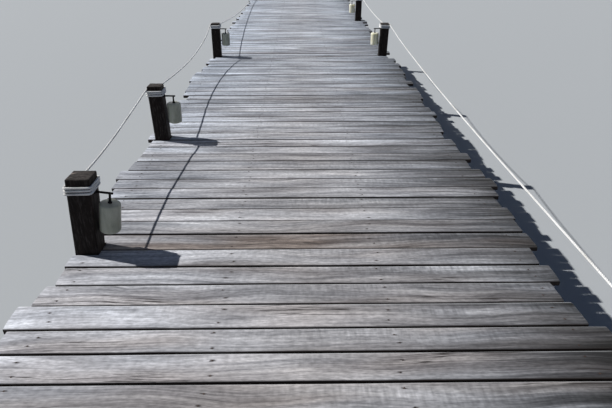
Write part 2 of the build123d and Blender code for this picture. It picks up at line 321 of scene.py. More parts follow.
def pieces_of(bm):
    """The vertices of each separate shape in the mesh, nearest to the deck's start first."""
    left, found = set(bm.verts), []
    while left:
        todo, members = [left.pop()], []
        while todo:
            v = todo.pop()
            members.append(v)
            for e in v.link_edges:
                w = e.other_vert(v)
                if w in left:
                    left.remove(w)
                    todo.append(w)
        found.append(members)
    return sorted(found, key=lambda verts: min((v.co.y, v.co.x, v.co.z) for v in verts))


def steps(start, stop, size):
    """Places between start and stop, about that size apart."""
    count = max(1, round((stop - start) / size))
    return [start + (stop - start) * k / count for k in range(1, count)]


def finish(name, bm, material, node_names=(), smooth=None):
    """Make a finished piece, which may stand for CAD nodes. Faces that meet at less than smooth are
    shaded as one."""
    mesh = bpy.data.meshes.new(name)
    bm.to_mesh(mesh)
    bm.free()
    if smooth is not None:
        mesh.shade_smooth()
        mesh.set_sharp_from_angle(angle=smooth)
    mesh.materials.append(material)
    piece = put(name, mesh)
    if node_names:
        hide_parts(*node_names)


timber_smooth = 0.6
metal_smooth = 0.7

# The deck. The planks were sawn by hand and have bleached: they are a little cupped, their edges
# wander, their ends are ragged, and one stands higher than the next. Each has a look, 0 to 1: how
# bleached it is, how brown, and how rough from the saw. Some planks have looks of their own. The mesh
# carries "grain", as a timber's does, the plank's look as "marks", how far "across" the plank each
# point is, from -1 to 1, and the plank's "number" in its node.
own_looks = {
    5: (0.45, 0.4, 0.5), 6: (0.42, 0.45, 0.4), 7: (0.45, 0.4, 1.0), 8: (0.65, 0.3, 0.5), 9: (0.55, 0.35, 0.8),
    10: (0.85, 0.2, 1.0), 11: (0.80, 0.25, 0.8), 12: (0.80, 0.2, 1.0), 13: (0.50, 0.25, 0.7),
    14: (0.30, 0.6, 1.0), 15: (0.05, 0.2, 0.1), 16: (0.65, 0.2, 0.4), 17: (0.15, 0.1, 1.0),
    18: (0.80, 0.1, 0.4), 19: (0.50, 0.1, 0.7), 20: (0.75, 0.1, 0.5), 21: (0.35, 0.15, 0.9),
    22: (0.25, 0.2, 0.6), 23: (0.60, 0.1, 0.4), 24: (0.85, 0.1, 0.3), 25: (0.85, 0.1, 0.2),
    26: (0.80, 0.1, 0.3), 27: (0.60, 0.1, 1.0), 28: (1.00, 0.05, 0.2), 29: (0.80, 0.1, 0.5),
    30: (0.70, 0.1, 0.4), 32: (0.30, 0.1, 0.8), 33: (0.40, 0.2, 0.5), 34: (0.75, 0.1, 0.4),
    37: (0.40, 0.1, 0.6), 38: (0.75, 0.05, 0.4), 39: (0.40, 0.1, 0.3), 41: (0.50, 0.1, 0.5),
    47: (0.85, 0.1, 0.3),
}
# Nails stand off the row's middle, across the deck and across the board, by up to the spread, times
# the sine of a sum of the board's number, the row, and which of the board's two nails it is
nail_spread = (0.013, 0.16)
nail_turns = ((2.7, 4.3, 1.9), (5.1, 2.9, 3.3))
nail_off_post = (0.075, 0.078)   # a nail that is nearer than this to a post's middle is left out
nail_rim = 0.0046                # the radius of a nail's head, and of the flat on top of it
nail_flat = 0.0036
nail_height = 0.0018
nail_proud = 0.0002
Board = namedtuple("Board", "low high ends cup lift wave skew edges look")


def nail_place(number, row, high):
    """Where a board's nail is: across the deck, and across the board from -1 to 1."""
    x, t = (spread * math.sin(a * number + b * row + c * high)
            for spread, (a, b, c) in zip(nail_spread, nail_turns))
    return stringer_rows[row] + x, high - 0.5 + t


def choose_board(chance, number, verts):
    """One plank's warp, wear and look, by chance. Planks further along are less brown and smoother, and
    paler, bleached and with a painted sheen. A plank with a look of its own draws one too, so that the
    others' stay as they are."""
    ys = [v.co.y for v in verts]
    xs = [v.co.x for v in verts]
    far = number / last_plank
    look = (0.75 * chance.betavariate(2.0, 2.0) + (0.32 if far < 0.5 else 0.56),
            chance.random() ** 2 * (0.5 - 0.4 * far), chance.random() * (1.0 - 0.5 * far))
    return Board(
        low=min(ys), high=max(ys), ends=(min(xs), max(xs)),
        cup=chance.uniform(-0.0014, 0.0012), lift=chance.uniform(-0.0012, 0.0018),
        wave=Vector([chance.uniform(-50, 50) for _ in range(3)]),
        skew=(chance.uniform(-0.005, 0.005), chance.uniform(-0.005, 0.005)),
        edges=[(0.0005 - 0.007 * chance.random() ** 2.5, chance.uniform(-0.002, 0.002)) for _ in range(2)],
        look=Vector(own_looks.get(number) or look),
    )


def weather_board(v, b, t):
    """Move one point of a board, t across it from -1 to 1: its ragged ends, wandering edges and cup."""
    for end, skew in zip(b.ends, b.skew):
        if abs(v.co.x - end) < 0.004:
            rough = noise.noise(Vector((end * 3, v.co.y * 60, v.co.z * 90)) + b.wave)
            inward = 0.003 + abs(skew) + skew * t + 0.0025 * rough + 0.012 * max(0.0, abs(t) - 0.75)
            v.co.x -= math.copysign(inward, end)
    wander = noise.noise(Vector((v.co.x * 2.3, 7.0 * math.copysign(1, t), 0.0)) + b.wave)
    set_back, taper = b.edges[t > 0]
    outward = min(0.0024, 0.0022 * wander + set_back + taper * v.co.x / plank_end)
    v.co.y += math.copysign(outward, t) * abs(t) ** 3 if outward > 0 else outward * t * t * t
    v.co.y = max(cad_box[0][1], min(cad_box[1][1], v.co.y))
    if v.co.z > deck_top - 0.012:
        sag = noise.noise(Vector((v.co.x * 1.4, 0.0, 5.0)) + b.wave)
        v.co.z += b.lift + b.cup * (t * t - 0.4) + 0.0008 * sag


def make_deck(n):
    """One node's planks, with what their finish needs to know, and their nails."""
    bm = copy_of(f"deck_planks_{n}")
    wear_edges(bm, 0.003)
    chance = random.Random(400 + n)
    grain, marks = (bm.verts.layers.float_vector.new(name) for name in ("grain", "marks"))
    across, number = (bm.verts.layers.float.new(name) for name in ("across", "number"))
    boards = []
    for k, verts in enumerate(pieces_of(bm)):
        b = choose_board(chance, (n - 1) * planks_in_node + k, verts)
        boards.append(b)
        for v in verts:
            v[number] = k
        edges = {e for v in verts for e in v.link_edges}
        faces = {f for v in verts for f in v.link_faces}
        cuts = [b.low + (b.high - b.low) * s for s in (0.1, 0.32, 0.5, 0.68, 0.9)]
        cut_across(bm, 1, cuts, [*verts, *edges, *faces])
    cut_across(bm, 0, steps(-plank_end, plank_end, 0.08))
    for v in bm.verts:
        v[number] = round(v[number])     # a cut's new points carry it a little off
        b = boards[int(v[number])]
        t = (v.co.y - (b.low + b.high) / 2) / ((b.high - b.low) / 2)
        v[grain] = v.co + b.wave
        v[marks] = b.look
        v[across] = t
        weather_board(v, b, t)
    finish(f"deck_boards_{n}", bm, deck_wood, [f"deck_planks_{n}"], timber_smooth)

    # Two nails hold each board on each stringer row, where no post is in the way
    places = []
    posts = [(side * post_line, post.y) for side, name, posts in sides for post in posts]
    for k, b in enumerate(boards):
        for row in range(len(stringer_rows)):
            for high in (0, 1):
                x, t = nail_place(k, row, high)
                y = (b.low + b.high) / 2 + t * (b.high - b.low) / 2
                if all(abs(x - px) > nail_off_post[0] or abs(y - py) > nail_off_post[1] for px, py in posts):
                    places.append((x, y, deck_top + b.lift + b.cup * (t * t - 0.4) + nail_proud))
    bm = bmesh.new()
    for place in places:
        turn = Matrix.Rotation(chance.uniform(0, 1), 4, "Z")
        tilt = Matrix.Rotation(chance.uniform(-0.08, 0.08), 4, "X")
        bmesh.ops.create_cone(bm, cap_ends=True, segments=9, radius1=nail_rim, radius2=nail_flat,
                              depth=nail_height, matrix=Matrix.Translation(place) @ turn @ tilt)
    finish(f"deck_nails_{n}", bm, nail_steel)


def mark_grain(bm, seed, along=None):
    """Give each timber in the mesh its grain and tone. Along turns places to lie along the timber."""
    chance = random.Random(seed)
    grain = bm.verts.layers.float_vector.new("grain")
    tone = bm.verts.layers.float.new("tone")
    for verts in pieces_of(bm):
        move = Vector([chance.uniform(-40, 40) for _ in range(3)])
        bleach = chance.random()
        middle = sum((v.co for v in verts), Vector()) / len(verts)
        turn = along(middle) if along else Matrix.Identity(3)
        for v in verts:
            v[grain] = turn @ v.co + move
            v[tone] = bleach


def roughen(bm, depth, size, keep_above=math.inf):
    """Sink the surface unevenly by up to a depth, with hollows about that size."""
    bm.normal_update()
    moves = [(v, v.normal * (-depth * (0.5 + 0.5 * noise.noise(v.co / size))))
             for v in bm.verts if v.co.z <= keep_above]
    for v, move in moves:
        v.co += move


def along_y(middle):
    """Turn places so that the grain follows Y."""
    return Matrix(((0, 1, 0), (1, 0, 0), (0, 0, 1)))


def along_z(middle):
    """Turn places so that the grain follows Z."""
    return Matrix(((0, 0, 1), (1, 0, 0), (0, 1, 0)))


def along_brace(middle):
    """Turn places so that the grain follows the brace that has this middle."""
    bent = min(bents, key=lambda y: abs(y - middle.y))
    rising = 1 if middle.y > bent else -1
    return Matrix.Rotation(rising * math.atan(brace_rise), 3, "Y")


# Stringers, cap beams and braces: sawn timbers with worn arrises. Their surface is uneven, but for a
# top that something rests on.
def make_sawn_timber(name, node, arris, cuts, seed, along, hollows, top=math.inf):
    bm = copy_of(node)
    wear_edges(bm, arris)
    for axis, places in cuts:
        cut_across(bm, axis, places)
    mark_grain(bm, seed, along)
    roughen(bm, *hollows, keep_above=top - 0.0005)
    finish(name, bm, sawn_wood, [node], timber_smooth)


def make_sawn_timbers():
    cuts = ((1, steps(-stringer_end, stringer_end, 0.12)),
            (2, [stringer_bottom + stringer_depth * s for s in (0.25, 0.5, 0.75)]))
    for k, row in enumerate(("left_outer", "left_inner", "right_inner", "right_outer")):
        make_sawn_timber(f"stringers_{row}", f"stringer_{row}", 0.004, cuts, 20 + k, along_y,
                         (0.0022, 0.09), plank_bottom)
    for n, bent in enumerate(bents, start=1):
        cuts = ((0, steps(-plank_end, plank_end, 0.09)),
                (2, [cap_bottom + cap_depth * s for s in (0.3, 0.7)]),
                (1, [bent + d for d in (-0.05, 0.0, 0.05)]))
        make_sawn_timber(f"cap_timber_{n}", f"cap_beam_{n}", 0.006, cuts, 40 + n, None,
                         (0.003, 0.08), stringer_bottom)
    cuts = ((0, steps(-1.0, 1.0, 0.09)),)
    make_sawn_timber("braces", "cross_braces", 0.004, cuts, 60, along_brace, (0.002, 0.08))


# Piles: round logs with their bark off, a little uneven, and split here and there
def make_piles():
    for n, bent in enumerate(bents, start=1):
        bm = bmesh.new()
        for x in (-pile_line, pile_line):
            bmesh.ops.create_cone(bm, cap_ends=True, segments=44, radius1=pile_radius, radius2=pile_radius,
                                  depth=cap_bottom, matrix=Matrix.Translation((x, bent, cap_bottom / 2)))
        wear_edges(bm, 0.005, [e for e in bm.edges if abs(e.verts[0].co.z - e.verts[1].co.z) < 1e-5])
        cut_across(bm, 2, steps(0.0, cap_bottom, 0.055))
        mark_grain(bm, 80 + n, along_z)
        for v in bm.verts:
            out = Vector((v.co.x - math.copysign(pile_line, v.co.x), v.co.y - bent, 0.0))
            lump = noise.noise(Vector((v.co.x * 9, v.co.y * 9, v.co.z * 2.2)))
            flute = noise.noise(Vector((v.co.x * 34, v.co.y * 34, v.co.z * 1.4)))
            v.co -= out * (0.035 + 0.03 * lump + 0.012 * flute)
        finish(f"piles_{n}", bm, pile_wood, [f"pile_pair_{n}"], timber_smooth)


# Posts: dark hardwood, with worn arrises and a top that sun and hands have worn most
def make_posts():
    for side, name, posts in sides:
        for n, post in enumerate(posts, start=1):
            bm = copy_of(f"post_{name}_{n}")
            wear_edges(bm, 0.0022)
            cut_across(bm, 2, steps(tongue_bottom, post.top - 0.008, 0.035))
            top = post_middle(side, post, post.top)
            for axis, middle in ((0, top.x), (1, top.y)):
                cuts = [middle + post.size * d for d in (-0.38, -0.25, -0.13, 0.0, 0.13, 0.25, 0.38)]
                cut_across(bm, axis, cuts)
            mark_grain(bm, 100 + 10 * side + n, along_z)
            roughen(bm, 0.0022, 0.045)
            for v in bm.verts:
                edge = max(abs(v.co.x - top.x), abs(v.co.y - top.y))
                if v.co.z > post.top - 0.012 and edge > post.size * 0.37:
                    v.co.z -= 0.0045 * max(0.0, noise.noise(Vector((v.co.x * 28, v.co.y * 28, n))))
                    v.co.z -= 0.0012
            finish(f"posts_{name}_{n}", bm, post_wood, [f"post_{name}_{n}"], timber_smooth)


rim_angle = 1.2              # faces meet at more than this along a rim, and at less along a flat's edge


def add_rod(bm, place, segments, radii, length, worn):
    """A straight rod or taper along its own Z, round or with flats, whose rims are worn."""
    made = bmesh.ops.create_cone(bm, cap_ends=True, segments=segments, radius1=radii[0], radius2=radii[1],
                                 depth=length, matrix=place)
    bevel(bm, {e for v in made["verts"] for e in v.link_edges if e.calc_face_angle(0) > rim_angle}, worn)


# Fastenings: a hexagon head on a round washer, drawn out along an axis
washer_thickness = 0.003
post_bolt = 0.016
brace_bolt = 0.02
# The two bolts through each post's tongue: along the deck from the post's middle, and the height
post_bolt_places = ((-0.022, 1.635), (0.022, 1.545))


def add_bolt(bm, place, direction, size):
    base = Matrix.Translation(place) @ Vector(direction).to_track_quat("Z", "Y").to_matrix().to_4x4()
    for segments, radius, depth, below, worn in (
            (24, size * 1.35, washer_thickness, 0.0, 0.0006),
            (6, size * 0.87, size * 0.62, washer_thickness, 0.0012)):
        middle = Matrix.Translation((0, 0, below + depth / 2))
        add_rod(bm, base @ middle, segments, (radius, radius), depth, worn)


def make_bolts():
    for side, name, posts in sides:
        bm = bmesh.new()
        for post in posts:
            for along, z in post_bolt_places:
                for face, way in ((tongue_face, side), (stringer_face, -side)):
                    add_bolt(bm, (side * face, post.y + along, z), (way, 0, 0), post_bolt)
        finish(f"post_bolts_{name}", bm, bolt_steel, smooth=metal_smooth)
    bm = bmesh.new()
    for bent in bents:
        for way in (-1, 1):
            for x in (-pile_line, pile_line):
                z = brace_middle + way * x * brace_rise
                add_bolt(bm, (x, bent + way * brace_face, z), (0, way, 0), brace_bolt)
    finish("brace_bolts", bm, bolt_steel, smooth=metal_smooth)


# Lamps: a round iron arm on a plate, a flanged stem, and an opal shade, drawn round the point where
# the stem meets the arm, with X out along the arm and Z up
lamp_reach = 0.072           # from the post's face to the stem
lamp_plate = (0.004, 0.034, 0.014)
screw_radius = 0.0026
screw_line = 0.0115          # each side of the arm
shade_middle = Matrix.Translation((0.0, 0.0, -0.133))
shade_radius = 0.053
shade_height = 0.158
shade_wall = 0.006
shade_hollow = 0.004
level = Matrix.Rotation(math.pi / 2, 4, "Y")
upright = Matrix.Identity(4)
# For each rod of the arm and stem: its place, turn, radii, length and the wear at its ends
lamp_rods = (
    ((-0.027, 0.0, 0.0), level, (0.006, 0.006), 0.086, 0.002),
    ((0.0, 0.0, -0.024), upright, (0.006, 0.006), 0.050, 0.0008),
    ((0.0, 0.0, -0.043), upright, (0.0072, 0.0062), 0.010, 0.001),
    ((0.0, 0.0, -0.051), upright, (0.0115, 0.0115), 0.006, 0.0016),
)


def add_arm(bm, on_post, hung):
    """The iron of one lamp: a plate with two screws on the post, and the rods of its arm and stem."""
    thickness = lamp_plate[0]
    shape = Matrix.Translation((thickness / 2, 0.0, 0.0)) @ Matrix.Diagonal((*lamp_plate, 1.0))
    plate = bmesh.ops.create_cube(bm, size=1.0, matrix=on_post @ shape)
    bevel(bm, {e for v in plate["verts"] for e in v.link_edges
               if abs(e.verts[0].co.x - e.verts[1].co.x) > 0.003}, 0.003, 3)
    for along in (-screw_line, screw_line):
        flat = Matrix.Translation((thickness, along, 0.0)) @ Matrix.Diagonal((0.6, 1.0, 1.0, 1.0))
        bmesh.ops.create_uvsphere(bm, u_segments=12, v_segments=6, radius=screw_radius, matrix=on_post @ flat)
    for place, turn, radii, length, worn in lamp_rods:
        add_rod(bm, hung @ Matrix.Translation(place) @ turn, 20, radii, length, worn)


def add_shade(bm, hung):
    """One shade: a moulded drum with its edges well rounded, the lower ones more."""
    made = bmesh.ops.create_cone(bm, cap_ends=True, segments=56, radius1=shade_radius, radius2=shade_radius,
                                 depth=shade_height, matrix=hung @ shade_middle)
    middle = (hung @ shade_middle).translation.z
    for low, worn in ((True, 0.0135), (False, 0.010)):
        bevel(bm, {e for v in made["verts"] if v.is_valid and (v.co.z < middle) == low for e in v.link_edges
                   if e.calc_face_angle(0) > rim_angle}, worn, 5)


def make_lamps():
    for side, name, posts in sides:
        iron = bmesh.new()
        shades = bmesh.new()
        facing = Matrix.Rotation(math.pi if side > 0 else 0.0, 4, "Z")
        for post in posts:
            root = post_middle(side, post, post.arm) - Vector((side * post.size / 2, 0.0, 0.0))
            lean = math.atan2(post.lean, post.top - plank_bottom)
            on_post = Matrix.Translation(root) @ facing @ Matrix.Rotation(lean, 4, "Y")
            hung = Matrix.Translation(root) @ facing @ Matrix.Rotation(math.radians(post.droop), 4, "Y")
            hung = hung @ Matrix.Translation((lamp_reach, 0.0, 0.0))
            add_arm(iron, on_post, hung)
            add_shade(shades, hung)
        for f in [f for f in shades.faces if f.normal.z < -0.97 and f.calc_area() > 0.003]:
            bmesh.ops.inset_region(shades, faces=[f], thickness=shade_wall, depth=-shade_hollow,
                                   use_even_offset=True)
        finish(f"lamp_arms_{name}", iron, painted_iron, [f"lamp_brackets_{name}"], metal_smooth)
        finish(f"shades_{name}", shades, opal_plastic, [f"lamp_shades_{name}"], metal_smooth)


# Materials
def feed(tree, node, inputs):
    """Fill a node's inputs, by name or in order, with values, sockets or nodes, which give their first
    output."""
    in_order = [socket for socket in node.inputs if socket.enabled]
    for key, value in inputs.items() if isinstance(inputs, dict) else enumerate(inputs):
        socket = node.inputs[key] if isinstance(key, str) else in_order[key]
        if isinstance(value, bpy.types.Node):
            value = next(output for output in value.outputs if output.enabled)
        if isinstance(value, bpy.types.NodeSocket):
            tree.links.new(value, socket)
        else:
            socket.default_value = value


def add(tree, kind, inputs=(), **settings):
    """Add a node with its inputs and settings. The stops of a colour ramp are places and colours."""
    made = tree.nodes.new("ShaderNode" + kind)
    for stop, (place, colour) in enumerate(settings.pop("stops", ())):
        while len(made.color_ramp.elements) <= stop:
            made.color_ramp.elements.new(1.0)
        made.color_ramp.elements[stop].position = place
        made.color_ramp.elements[stop].color = linear(colour)
    for key, value in settings.items():
        setattr(made, key, value)
    feed(tree, made, inputs)
    return made


def weighted(tree, *terms):
    """The sum of sockets, each times its weight."""
    total = None
    for socket, weight in terms:
        part = add(tree, "Math", [socket, weight], operation="MULTIPLY")
        total = add(tree, "Math", [total, part], operation="ADD") if total else part
    return total


def product(tree, total, *factors):
    """The product of sockets."""
    for factor in factors:
        total = add(tree, "Math", [total, factor], operation="MULTIPLY")
    return total


def facing_up(tree, start, stop):
    """How level a surface is: 0 where its normal points up less than start, 1 from stop."""
    normal = add(tree, "SeparateXYZ", [add(tree, "NewGeometry").outputs["Normal"]])
    return add(tree, "MapRange", [normal.outputs["Z"], start, stop])


def new_material(name, constants):
    """A material with one Principled shader, whose sockets have these constant values."""
    made = bpy.data.materials.new(name)
    made.use_nodes = True
    shader = made.node_tree.nodes["Principled BSDF"]
    feed(made.node_tree, shader, constants)
    return made, made.node_tree, shader


def grain_parts(tree, place, coarse=1.0):
    """The parts of a wood figure, each about 0 to 1: soft flames, streaks, fibres, fine cracks, the
    lines of the growth rings, and broad patches. The grain runs along the place's X."""
    patterns = []
    for along, across, start, detail, roughness, distortion in (
            (0.9, 17, (0.0, 0.0, 0.0), 2.0, 0.5, 0.5),        # flames
            (1.7, 95, (0.0, 0.0, 0.0), 4.0, 0.62, 0.0),       # streaks
            (9.0, 420, (0.0, 0.0, 0.0), 2.0, 0.6, 0.0),       # fibres
            (1.3, 70, (11.0, 3.0, 5.0), 1.5, 0.45, 0.0),      # cracks, along the middle of this one
            (1.1, 7, (0.0, 0.0, 0.0), 1.0, 0.5, 0.0)):        # patches, which some cracks are in
        drawn_out = add(tree, "Mapping", {"Vector": place, "Location": start,
                                          "Scale": (along, across * coarse, across * coarse)})
        patterns.append(add(tree, "TexNoise", {"Vector": drawn_out, "Scale": 1.0, "Detail": detail,
                                               "Roughness": roughness, "Distortion": distortion}))
    flame, streak, fibre, crack, patch = patterns
    from_middle = add(tree, "Math", [crack, 0.5], operation="SUBTRACT")
    from_middle = add(tree, "Math", [from_middle], operation="ABSOLUTE")
    thin = add(tree, "MapRange", [from_middle, 0.004, 0.026, 1.0, 0.0], interpolation_type="SMOOTHSTEP")
    some = add(tree, "MapRange", [patch, 0.55, 0.63], interpolation_type="SMOOTHSTEP")
    wave = add(tree, "Math", [add(tree, "Math", [flame, 62.0], operation="MULTIPLY")], operation="SINE")
    rings = add(tree, "MapRange", [wave, -1.0, 1.0])
    return flame, streak, fibre, product(tree, thin, some), rings, patch


# Deck: tropical hardwood planks, rough sawn and bleached by sun and salt to silver grey. Soft early
# wood has worn away, so the grain stands up in fine ridges and bends round the knots. The saw has
# left faint marks across, about 15 mm apart. The far arris is pale, worn and a painted highlight, and
# the near one dark with dirt and painted shade. The left-hand ends carry a painted sheen, the ends
# on the right stay darker, and a painted sky reflection tints the deck bluer toward its sides and far
# end. The planks' sides and ends are painted dark as shade. Streaks are drawn 6 to 12 mm wide, where
# the real ones are 2 to 4, to show from standing height.
def bend_grain(tree, straight):
    """Each place in a grain that sways and bends round a few knots, and how far inside a knot it is."""
    knots = add(tree, "TexVoronoi", {"Vector": straight, "Scale": 3.2})
    chosen = add(tree, "MapRange", [add(tree, "SeparateColor", [knots.outputs["Color"]]), 0.78, 0.80])
    away = knots.outputs["Distance"]
    near_knot, core = (
        product(tree, add(tree, "MapRange", [away, start, stop], interpolation_type="SMOOTHSTEP"), chosen)
        for start, stop in ((0.30, 0.03), (0.052, 0.025)))
    pulled = add(tree, "VectorMath", [straight, knots.outputs["Position"]], operation="SUBTRACT")
    pulled = add(tree, "VectorMath", [pulled, (0.0, -0.75, 0.0)], operation="MULTIPLY")
    pulled = add(tree, "VectorMath", [pulled, near_knot], operation="SCALE")
    sway = add(tree, "Mapping", {"Vector": straight, "Scale": (1.3, 0.7, 0.7)})
    sway = add(tree, "TexNoise", {"Vector": sway, "Scale": 1.0, "Detail": 1.0})
    sway = add(tree, "CombineXYZ", {"Y": add(tree, "Math", [sway, 0.16], operation="MULTIPLY")})
    place = add(tree, "VectorMath", [straight, sway], operation="ADD")
    return add(tree, "VectorMath", [place, pulled], operation="ADD"), core


def read_deck(tree):
    """What the deck's finish follows: the patterns in the wood, and where on the deck each place is."""
    straight = add(tree, "Attribute", attribute_name="grain").outputs["Vector"]
    look = add(tree, "Attribute", attribute_name="marks").outputs["Vector"]
    deck = SimpleNamespace(across=add(tree, "Attribute", attribute_name="across").outputs["Fac"])
    deck.bleached, deck.browned, deck.sawn = add(tree, "SeparateXYZ", [look]).outputs
    deck.side, deck.along = add(tree, "SeparateXYZ", [add(tree, "TexCoord").outputs["Object"]]).outputs[:2]
    place, deck.core = bend_grain(tree, straight)
    deck.flame, deck.streak, deck.fibre, deck.cracks, deck.rings, deck.patch = grain_parts(tree, place)
    broad = add(tree, "Mapping", {"Vector": place, "Scale": (1.1, 5.0, 5.0), "Location": (3.0, 9.0, 1.0)})
    deck.broad = add(tree, "TexNoise", {"Vector": broad, "Scale": 1.0, "Detail": 5.0, "Roughness": 0.58,
                                        "Distortion": 0.4})
    bands = add(tree, "Mapping", {"Vector": place, "Scale": (1.6, 30, 30), "Location": (7.0, 2.0, 4.0)})
    deck.bands = add(tree, "TexNoise", {"Vector": bands, "Scale": 1.0, "Detail": 6.0, "Roughness": 0.62,
                                        "Distortion": 0.3})
    saw = add(tree, "Mapping", {"Vector": straight, "Scale": (70, 13, 4), "Rotation": (0, 0, 0.35)})
    deck.saw = add(tree, "TexNoise", {"Vector": saw, "Scale": 1.0, "Detail": 1.0})
    specks = add(tree, "Mapping", {"Vector": straight, "Scale": (38, 95, 60)})
    deck.specks = add(tree, "TexNoise", {"Vector": specks, "Scale": 1.0, "Detail": 3.5})
    return deck


def silver_and_brown(tree, deck):
    """The wood's colour, from its dark streaks to its light ones, silver grey or brown in places. The
    figure is plainest near the start and strongest at the right-hand ends."""
    figure = add(tree, "Math", [add(tree, "MapRange", [deck.along, -6.4, -4.8, 0.72, 1.03]),
                                add(tree, "MapRange", [deck.side, 0.45, 1.05, 0.0, 0.4])], operation="ADD")
    value = weighted(tree, (deck.streak, 0.24), (deck.fibre, 0.18), (deck.bands, 0.34), (deck.broad, 0.24))
    value = add(tree, "Math", [value, 0.5], operation="SUBTRACT")
    value = add(tree, "Math", [value, figure, 0.5], operation="MULTIPLY_ADD")
    silver = add(tree, "ValToRGB", [value], stops=(
        (0.37, "#60636a"), (0.46, "#90949c"), (0.54, "#b5b9c1"), (0.63, "#d8dce2")))
    brown = add(tree, "ValToRGB", [value], stops=(
        (0.37, "#484040"), (0.46, "#756c69"), (0.54, "#9d9591"), (0.63, "#c2bbb7")))
    how_brown = add(tree, "MapRange", [deck.browned, 0.0, 1.0, 0.10, 0.9])
    brown_spots = add(tree, "MapRange", [deck.patch, 0.36, 0.66, 0.2, 1.7])
    how_brown = add(tree, "Math", [how_brown, brown_spots], operation="MULTIPLY", use_clamp=True)
    return add(tree, "Mix", [how_brown, silver, brown], data_type="RGBA")


def lightness(tree, deck):
    """How light each place is, as the product of all that darkens or bleaches it, and of a painted sheen."""
    # The right-hand ends are dark in spots, from further in where the plank is rough, and less so
    # further along the deck
    dark_from = add(tree, "MapRange", [deck.sawn, 0.0, 1.0, 0.75, 0.0])
    dark_end = product(tree, add(tree, "MapRange", [deck.side, dark_from, 1.32]),
                       add(tree, "MapRange", [deck.along, -2.5, 3.0, 1.0, 0.45]))
    spots = add(tree, "MapRange", [deck.flame, 0.35, 0.65, -0.40, -1.10])
    dark_end = add(tree, "Math", [dark_end, spots, 1.0], operation="MULTIPLY_ADD")
    # Painted sheen: the left-hand ends are painted pale, most of all near the start
    painted_sheen = add(tree, "MapRange", [deck.side, -1.15, 0.1, 0.32, -0.02])
    near = add(tree, "MapRange", [deck.along, -5.4, -3.5, 1.0, 0.45])
    painted_sheen = add(tree, "Math", [painted_sheen, near, 1.0], operation="MULTIPLY_ADD")
    # Saw marks show on the planks that are rough from it, in places, more to the far edge and the right
    saw_line = product(tree, add(tree, "Math", [deck.saw, 0.5], operation="SUBTRACT"), deck.sawn)
    saw_weight = product(tree, add(tree, "MapRange", [deck.across, -1.0, 0.8, 0.25, 1.1]),
                         add(tree, "MapRange", [deck.patch, 0.42, 0.58, 1.1, 0.3]),
                         add(tree, "MapRange", [deck.side, -0.7, 0.3, 0.35, 1.0]))
    saw_line = add(tree, "Math", [saw_line, saw_weight, 1.0], operation="MULTIPLY_ADD")
    # Darker right-hand ends, the plank's own bleaching, soft blotches, growth rings and specks
    others = [add(tree, "MapRange", row) for row in (
        [deck.side, 0.95, 1.25, 1.0, 0.68],
        [deck.bleached, 0.0, 1.0, 0.74, 1.24],
        [deck.broad, 0.3, 0.7, 0.74, 1.18],
        [deck.rings, 0.0, 1.0, 0.94, 1.04],
        [deck.specks, 0.3, 0.7, 0.76, 1.23])]
    return product(tree, dark_end, painted_sheen, *others, saw_line)


def painted_sky_tint(tree, deck):
    """A painted reflection of the sky: a tint that is a little warmer along the middle, nearest the start,
    and bluer toward the sides and further along.
    """
    # painted sky reflection: least of it nearest the start
    walked = add(tree, "MapRange", [deck.along, -5.0, -1.0, 1.0, 0.45])
    off_middle = add(tree, "Math", [deck.side], operation="ABSOLUTE")
    warmth = add(tree, "Math", [off_middle, -0.42, walked], operation="MULTIPLY_ADD", use_clamp=True)
    return add(tree, "Mix", [warmth, (0.945, 1.0, 1.055), (1.06, 1.0, 0.94)], data_type="VECTOR")


def nail_stain(tree, deck):
    """How much iron from the nearest nail has stained each place. The sums are those of nail_place."""
    number = add(tree, "Attribute", attribute_name="number").outputs["Fac"]
    row = add(tree, "MapRange", [deck.side, stringer_rows[0], stringer_rows[3], 0.0, 3.0])
    row = add(tree, "Math", [row], operation="ROUND")
    high = add(tree, "Math", [deck.across, 0.0], operation="GREATER_THAN")
    spacing = stringer_rows[3] - stringer_rows[2]
    middles = (add(tree, "Math", [row, spacing, stringer_rows[0]], operation="MULTIPLY_ADD"),
               add(tree, "Math", [high, 0.5], operation="SUBTRACT"))
    stain_reach = (0.013, 0.0055)     # it spreads further along the grain
    half_board = 0.074
    off = []
    for here, middle, spread, turns, reach in zip((deck.side, deck.across), middles, nail_spread, nail_turns,
                                                  (1 / stain_reach[0], half_board / stain_reach[1])):
        swing = add(tree, "Math", [weighted(tree, *zip((number, row, high), turns))], operation="SINE")
        nail = add(tree, "Math", [swing, spread, middle], operation="MULTIPLY_ADD")
        off.append(weighted(tree, (add(tree, "Math", [here, nail], operation="SUBTRACT"), reach)))
    from_nail = add(tree, "VectorMath", [add(tree, "CombineXYZ", off)], operation="LENGTH")
    from_nail = weighted(tree, (from_nail, 1.0), (deck.specks, 2.2), (deck.streak, 1.6))
    stain = add(tree, "MapRange", [from_nail, 3.1, 2.2, 0.0, 0.8], interpolation_type="SMOOTHSTEP")
    return product(tree, stain, add(tree, "MapRange", [deck.along, -5.2, -3.6, 1.0, 0.4]))


